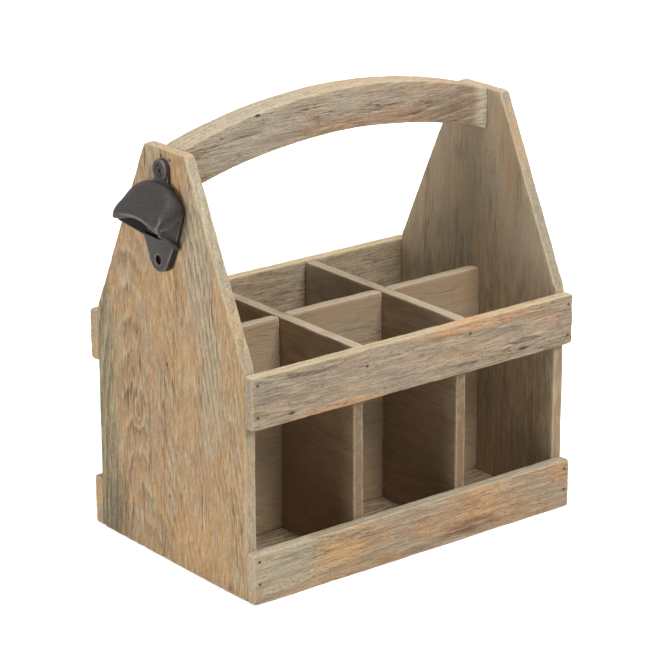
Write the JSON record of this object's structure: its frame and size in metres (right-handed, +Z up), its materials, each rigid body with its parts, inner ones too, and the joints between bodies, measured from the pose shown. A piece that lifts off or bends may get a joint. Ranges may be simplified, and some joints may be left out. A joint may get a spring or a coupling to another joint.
{
  "type": "bottle caddy",
  "caption": "Slatted wooden bottle caddy with pointed ends, an arched carrying handle, an egg-crate divider and a cast iron cap opener.",
  "frame": {"origin": "centre of the footprint, on the underside of the base board, which lies on the floor", "axes": "+Z up; X along the caddy with the opener at -X; -Y is the front"},
  "size_m": [0.3265, 0.2, 0.335],
  "materials": {
    "gable_wood": "weathered, limewashed",
    "slat_wood": "weathered, limewashed",
    "divider_wood": "sawn, grey wash",
    "base_wood": "sawn, pale",
    "handle_wood": "weathered, sanded by hand",
    "pin_steel": "dark, dull",
    "cast_iron": "rough cast, dark brown-grey",
    "screw_steel": "blackened"
  },
  "bodies": {
    "root": {"left_gable": "gable_wood", "right_gable": "gable_wood", "front_upper_slat": "slat_wood", "front_lower_slat": "slat_wood", "back_upper_slat": "slat_wood", "back_lower_slat": "slat_wood", "base_board": "base_wood", "long_divider": "divider_wood", "left_cross_divider": "divider_wood", "right_cross_divider": "divider_wood", "handle": "handle_wood", "front_upper_slat_pins": "pin_steel", "front_lower_slat_pins": "pin_steel", "back_upper_slat_pins": "pin_steel", "back_lower_slat_pins": "pin_steel", "base_pins": "pin_steel", "left_handle_pins": "pin_steel", "right_handle_pins": "pin_steel", "left_divider_pins": "pin_steel", "right_divider_pins": "pin_steel", "bottle_opener": "cast_iron", "opener_ear_screw": "screw_steel", "opener_lug_screw": "screw_steel"}
  },
  "joints": []
}
